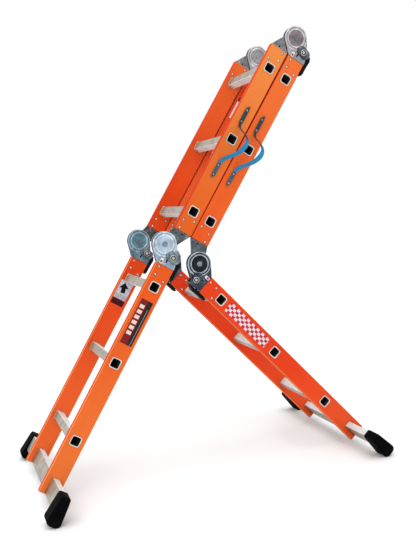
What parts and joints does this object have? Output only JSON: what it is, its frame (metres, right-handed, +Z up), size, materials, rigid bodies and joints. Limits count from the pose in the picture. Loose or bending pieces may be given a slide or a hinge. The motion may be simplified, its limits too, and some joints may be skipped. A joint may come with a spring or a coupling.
{
  "type": "multi-position ladder",
  "caption": "Folding multi-position ladder with orange fibreglass rails, square rungs, locking hinges and rubber-booted foot bars, standing as a trestle.",
  "frame": {"origin": "on the ground under the middle of the ladder's outline as it stands", "axes": "+Z up; rungs along Y, with the straps on the -Y side; the prop leg is on the +X side"},
  "size_m": [1.293, 0.786, 1.6145],
  "materials": {
    "rail_orange": "pultruded fibreglass, satin to glossy",
    "rail_red": "pultruded fibreglass, redder batch, satin to glossy",
    "aluminium": "extruded, brushed",
    "hinge_steel": "zinc plated, pressed",
    "dark_steel": "zinc plated, darker",
    "grip_plastic": "moulded, satin black",
    "boot_rubber": "moulded rubber, matte",
    "strap_webbing": "woven webbing"
  },
  "bodies": {
    "section_2": {"hinge_12_front_inner_leaf": "hinge_steel", "hinge_12_back_inner_leaf": "hinge_steel", "hinge_23_front_inner_leaf": "hinge_steel", "hinge_23_back_inner_leaf": "hinge_steel", "rail_2_front": "rail_orange", "rail_2_back": "rail_orange", "rung_2a": "aluminium", "rung_2b": "aluminium", "rung_2c": "aluminium", "carry_strap_2": "strap_webbing"},
    "section_1": {"hinge_12_front_outer_leaf": "hinge_steel", "hinge_12_front_pivot_pin": "hinge_steel", "hinge_12_back_outer_leaf": "hinge_steel", "hinge_12_back_pivot_pin": "hinge_steel", "rail_1_front": "rail_orange", "rail_1_back": "rail_orange", "rung_1a": "aluminium", "rung_1b": "aluminium", "rung_1c": "aluminium", "foot_bar_1": "aluminium", "boot_1_front": "boot_rubber", "boot_1_back": "boot_rubber"},
    "section_3": {"hinge_23_front_outer_leaf": "hinge_steel", "hinge_23_front_pivot_pin": "hinge_steel", "hinge_23_back_outer_leaf": "hinge_steel", "hinge_23_back_pivot_pin": "hinge_steel", "hinge_34_front_inner_leaf": "hinge_steel", "hinge_34_back_inner_leaf": "hinge_steel", "rail_3_front": "rail_orange", "rail_3_back": "rail_orange", "rung_3a": "aluminium", "rung_3b": "aluminium", "rung_3c": "aluminium", "carry_strap_3": "strap_webbing"},
    "section_4": {"hinge_34_front_outer_leaf": "hinge_steel", "hinge_34_front_pivot_pin": "hinge_steel", "hinge_34_back_outer_leaf": "hinge_steel", "hinge_34_back_pivot_pin": "hinge_steel", "rail_4_front": "rail_red", "rail_4_back": "rail_red", "rung_4a": "aluminium", "rung_4b": "aluminium", "rung_4c": "aluminium", "foot_bar_4": "aluminium", "boot_4_front": "boot_rubber", "boot_4_back": "boot_rubber"},
    "lever_12_front": {"hinge_12_front_lock_lever": "dark_steel", "hinge_12_front_lever_grip": "grip_plastic"},
    "lever_12_back": {"hinge_12_back_lock_lever": "dark_steel", "hinge_12_back_lever_grip": "grip_plastic"},
    "lever_23_front": {"hinge_23_front_lock_lever": "dark_steel", "hinge_23_front_lever_grip": "grip_plastic"},
    "lever_23_back": {"hinge_23_back_lock_lever": "dark_steel", "hinge_23_back_lever_grip": "grip_plastic"},
    "lever_34_front": {"hinge_34_front_lock_lever": "dark_steel", "hinge_34_front_lever_grip": "grip_plastic"},
    "lever_34_back": {"hinge_34_back_lock_lever": "dark_steel", "hinge_34_back_lever_grip": "grip_plastic"}
  },
  "joints": [
    {"name": "hinge_12", "type": "hinge", "parent": "section_2", "child": "section_1", "pos_m": [-0.12143, 0, 0.85992], "axis": [0, 1, 0], "range_deg": [0, 179.3]},
    {"name": "hinge_23", "type": "hinge", "parent": "section_2", "child": "section_3", "pos_m": [0.44544, 0, 1.56955], "axis": [0, -1, 0], "range_deg": [0, 180]},
    {"name": "hinge_34", "type": "hinge", "parent": "section_3", "child": "section_4", "pos_m": [0.00279, 0, 0.77647], "axis": [0, 1, 0], "range_deg": [-103, 46]},
    {"name": "lever_12_front_pull", "type": "hinge", "parent": "section_1", "child": "lever_12_front", "pos_m": [-0.09506, -0.176, 0.80695], "axis": [0, -1, 0], "range_deg": [0, 20], "stiffness_Nm_per_rad": 2, "springref_deg": -20.05},
    {"name": "lever_12_back_pull", "type": "hinge", "parent": "section_1", "child": "lever_12_back", "pos_m": [-0.09506, 0.176, 0.80695], "axis": [0, -1, 0], "range_deg": [0, 20], "stiffness_Nm_per_rad": 2, "springref_deg": -20.05},
    {"name": "lever_23_front_pull", "type": "hinge", "parent": "section_3", "child": "lever_23_front", "pos_m": [0.47093, -0.176, 1.51616], "axis": [0, -1, 0], "range_deg": [0, 20], "stiffness_Nm_per_rad": 2, "springref_deg": -20.05},
    {"name": "lever_23_back_pull", "type": "hinge", "parent": "section_3", "child": "lever_23_back", "pos_m": [0.47093, 0.176, 1.51616], "axis": [0, -1, 0], "range_deg": [0, 20], "stiffness_Nm_per_rad": 2, "springref_deg": -20.05},
    {"name": "lever_34_front_pull", "type": "hinge", "parent": "section_4", "child": "lever_34_front", "pos_m": [-0.01535, -0.176, 0.72015], "axis": [0, 1, 0], "range_deg": [0, 20], "stiffness_Nm_per_rad": 2, "springref_deg": -20.05},
    {"name": "lever_34_back_pull", "type": "hinge", "parent": "section_4", "child": "lever_34_back", "pos_m": [-0.01535, 0.176, 0.72015], "axis": [0, 1, 0], "range_deg": [0, 20], "stiffness_Nm_per_rad": 2, "springref_deg": -20.05}
  ]
}
